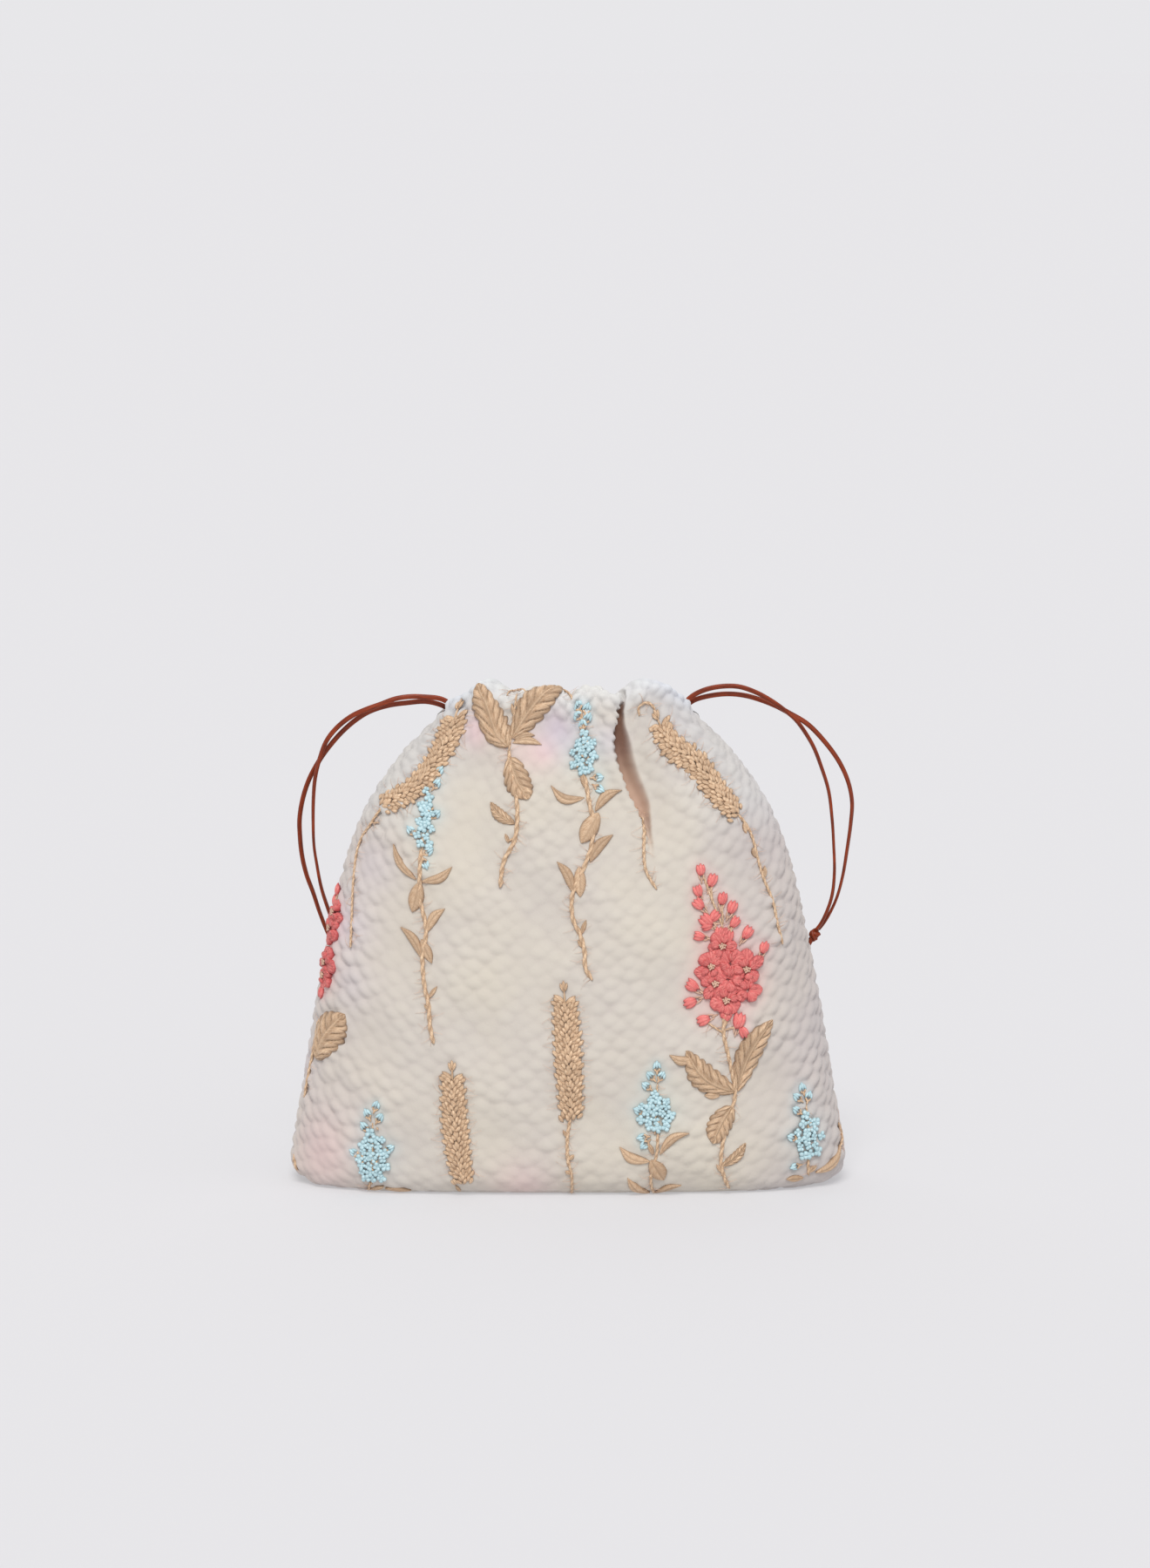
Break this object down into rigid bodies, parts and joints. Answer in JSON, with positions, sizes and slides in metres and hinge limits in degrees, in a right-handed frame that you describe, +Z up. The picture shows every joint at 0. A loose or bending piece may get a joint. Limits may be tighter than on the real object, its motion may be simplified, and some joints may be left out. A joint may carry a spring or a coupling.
{
  "type": "drawstring pouch",
  "caption": "Soft upright drawstring pouch of puckered embroidered cloth, gathered at the mouth by leather laces that leave it at the sides.",
  "frame": {"origin": "middle of the base, on the surface that the pouch stands on", "axes": "+Z up, the front faces -Y, +X to the right of a viewer in front"},
  "size_m": [0.225, 0.078, 0.2031],
  "materials": {
    "cloth": "ivory puckered cloth, matt, with a soft sheen",
    "lace": "rust-brown flat leather lace, slightly glossy",
    "tan_thread": "tan embroidery thread with a silky sheen, for the stems, leaves and ears",
    "blue_thread": "pale sky-blue embroidery thread, for the small florets",
    "coral_thread": "coral embroidery thread, for the buds and flowers"
  },
  "bodies": {
    "root": {"front_panel": "cloth", "back_panel": "cloth", "drawstring_left": "lace", "drawstring_right": "lace", "knot_left": "lace", "knot_right": "lace"}
  },
  "joints": []
}
